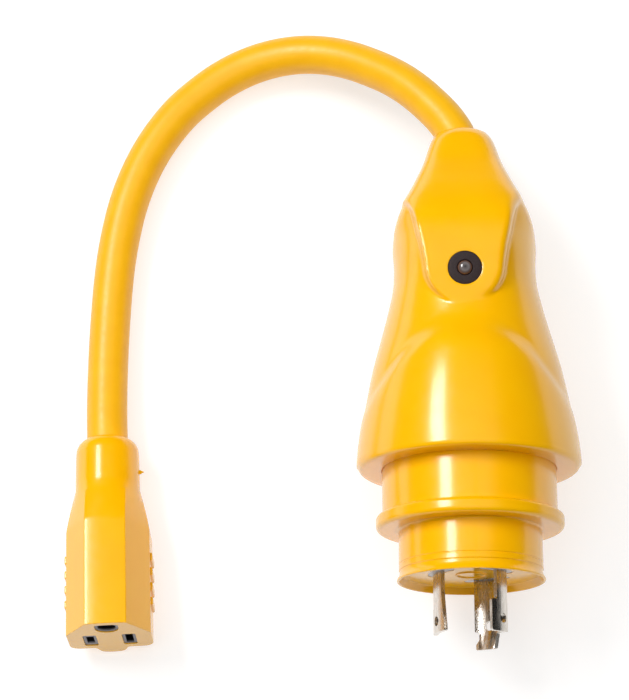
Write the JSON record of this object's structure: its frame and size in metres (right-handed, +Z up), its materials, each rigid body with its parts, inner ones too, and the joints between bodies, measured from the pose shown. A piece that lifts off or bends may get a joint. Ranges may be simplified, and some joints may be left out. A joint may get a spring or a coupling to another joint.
{
  "type": "pigtail power adapter",
  "caption": "Heavy power adapter: a locking three-blade plug with an indicator lamp, joined by a short thick cord to a straight-blade connector.",
  "frame": {"origin": "on the table under the middle of the box round the plug and the connector, without the free cord", "axes": "+X from the connector to the plug, +Y away from the plug's blades along its axis, +Z up from the table"},
  "size_m": [0.1677, 0.2201, 0.072],
  "materials": {
    "yellow_vinyl": "moulded, glossy with faint grain",
    "cord_vinyl": "extruded, satin",
    "grey_plastic": "moulded, matt",
    "inner_plastic": "moulded, matt",
    "nickel_plate": "nickel plated brass, bright",
    "contact_brass": "rolled, bare",
    "black_bezel": "moulded, finely spark textured",
    "clear_lamp": "clear cast epoxy",
    "board": "glass epoxy laminate with lacquer",
    "resistor_body": "dipped",
    "wire_black": "extruded",
    "wire_white": "extruded",
    "wire_green": "extruded",
    "steel_ferrule": "crimped"
  },
  "bodies": {
    "root": {"bell_grip": "yellow_vinyl", "plug_nose": "yellow_vinyl", "inner_mould": "inner_plastic", "blade_carrier": "grey_plastic", "hot_blade": "nickel_plate", "neutral_blade": "nickel_plate", "ground_blade": "nickel_plate", "indicator_bezel": "black_bezel", "indicator_lamp": "clear_lamp", "indicator_board": "board", "indicator_resistor": "resistor_body", "indicator_lead_hot": "wire_black", "indicator_lead_neutral": "wire_white", "plug_wire_hot": "wire_black", "plug_wire_neutral": "wire_white", "plug_wire_ground": "wire_green", "plug_jacket_end": "cord_vinyl", "plug_cable_ferrule": "steel_ferrule", "cable_jacket": "cord_vinyl", "connector_body": "yellow_vinyl", "contact_carrier": "grey_plastic", "hot_contact": "contact_brass", "neutral_contact": "contact_brass", "ground_contact": "contact_brass", "connector_wire_hot": "wire_black", "connector_wire_neutral": "wire_white", "connector_wire_ground": "wire_green", "connector_jacket_end": "cord_vinyl", "connector_cable_ferrule": "steel_ferrule"}
  },
  "joints": []
}
